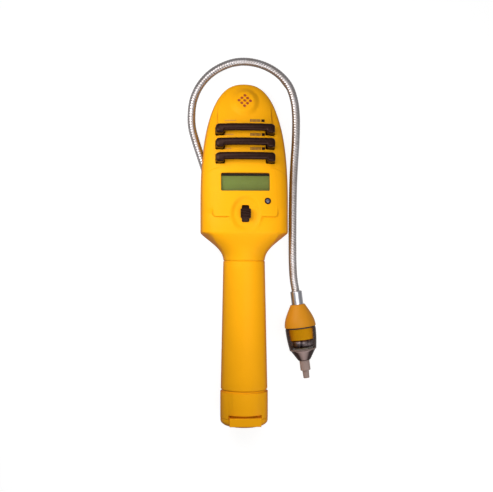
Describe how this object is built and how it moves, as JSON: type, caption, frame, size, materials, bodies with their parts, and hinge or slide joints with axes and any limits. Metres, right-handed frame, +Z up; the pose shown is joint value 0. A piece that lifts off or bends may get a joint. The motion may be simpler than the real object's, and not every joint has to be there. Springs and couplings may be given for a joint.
{
  "type": "portable gas detector",
  "caption": "Hand-held combustible gas leak detector: moulded head with bar keys, display and thumb slide, battery handle, and a bendable gooseneck carrying a sensor probe.",
  "frame": {"origin": "on the flat back of the head, which the part lies on", "axes": "+X to the right across the face, +Y along the body from the battery door to the head's tip, +Z up out of the face"},
  "size_m": [0.1201, 0.3409, 0.0509],
  "materials": {
    "yellow_plastic": "moulded yellow plastic with a fine grain",
    "black_plastic": "black moulded plastic",
    "clear_window": "clear window",
    "display": "grey-green liquid crystal display",
    "circuit_board": "green board",
    "steel": "plated steel",
    "lens": "dark clear lens",
    "grille_cloth": "red-brown woven cloth",
    "brass": "sprung brass",
    "cell_jacket": "jacketed dry cell, of about the density of aluminium",
    "lead_jacket": "insulated wire",
    "wound_steel": "bright wound steel",
    "seal_rubber": "black sealing ring",
    "smoked_cover": "smoked clear plastic",
    "smoked_ring": "brown-grey translucent plastic",
    "filter": "white felt"
  },
  "bodies": {
    "housing": {"front_shell": "yellow_plastic", "rear_shell": "yellow_plastic", "lcd_window": "clear_window", "lcd_module": "display", "main_board": "circuit_board", "board_screws": "steel", "housing_screws": "steel", "key_switches": "black_plastic", "slide_switch": "steel", "light_sensor": "lens", "sounder": "black_plastic", "grille_cloth": "grille_cloth", "handle_tube": "yellow_plastic", "end_collar": "yellow_plastic", "door_pin": "steel", "cell_upper": "cell_jacket", "cell_lower": "cell_jacket", "upper_contact": "brass", "battery_leads": "lead_jacket", "root_ferrule": "steel", "gooseneck_arch": "wound_steel", "sensor_lead_arch": "lead_jacket"},
    "upper_key": {"upper_bar_key": "black_plastic"},
    "middle_key": {"middle_bar_key": "black_plastic"},
    "lower_key": {"lower_bar_key": "black_plastic"},
    "slide": {"thumb_slide": "black_plastic"},
    "door": {"battery_door": "yellow_plastic", "door_spring": "steel", "door_contact": "brass"},
    "shoulder": {"gooseneck_shoulder": "wound_steel", "sensor_lead_shoulder": "lead_jacket"},
    "drop": {"gooseneck_drop": "wound_steel", "sensor_lead_drop": "lead_jacket"},
    "probe": {"gooseneck_tail": "wound_steel", "sensor_lead_tail": "lead_jacket", "probe_cap": "yellow_plastic", "probe_ferrule": "steel", "probe_body": "yellow_plastic", "probe_seal": "seal_rubber", "sensor_can": "steel", "flame_arrestor": "brass", "sensor_cover": "smoked_cover", "cover_ring": "smoked_ring", "nozzle_holder": "black_plastic", "nozzle": "smoked_ring", "filter_disc": "filter"}
  },
  "joints": [
    {"name": "upper_key_press", "type": "slide", "parent": "housing", "child": "upper_key", "axis": [0, -0.207, -0.9783], "range_m": [0, 0.0012], "stiffness_N_per_m": 800},
    {"name": "middle_key_press", "type": "slide", "parent": "housing", "child": "middle_key", "axis": [0, -0.1663, -0.9861], "range_m": [0, 0.0012], "stiffness_N_per_m": 800},
    {"name": "lower_key_press", "type": "slide", "parent": "housing", "child": "lower_key", "axis": [0, -0.1336, -0.991], "range_m": [0, 0.0012], "stiffness_N_per_m": 800},
    {"name": "thumb_slide_move", "type": "slide", "parent": "housing", "child": "slide", "axis": [0, 0.9995, -0.0331], "range_m": [-0.003, 0.003]},
    {"name": "battery_door_hinge", "type": "hinge", "parent": "housing", "child": "door", "pos_m": [0, -0.2213, 0.0025], "axis": [1, 0, 0], "range_deg": [0, 100]},
    {"name": "gooseneck_swing", "type": "hinge", "parent": "housing", "child": "shoulder", "pos_m": [0.04847, 0.06109, 0.02], "axis": [0, 0, 1], "range_deg": [0, 40]},
    {"name": "gooseneck_lift", "type": "hinge", "parent": "shoulder", "child": "drop", "pos_m": [0.04726, 0.02114, 0.02], "axis": [-1, 0, 0], "range_deg": [0, 40]},
    {"name": "probe_wrist", "type": "hinge", "parent": "drop", "child": "probe", "pos_m": [0.04594, -0.08681, 0.02], "axis": [0, 0, 1], "range_deg": [-15, 40]}
  ]
}
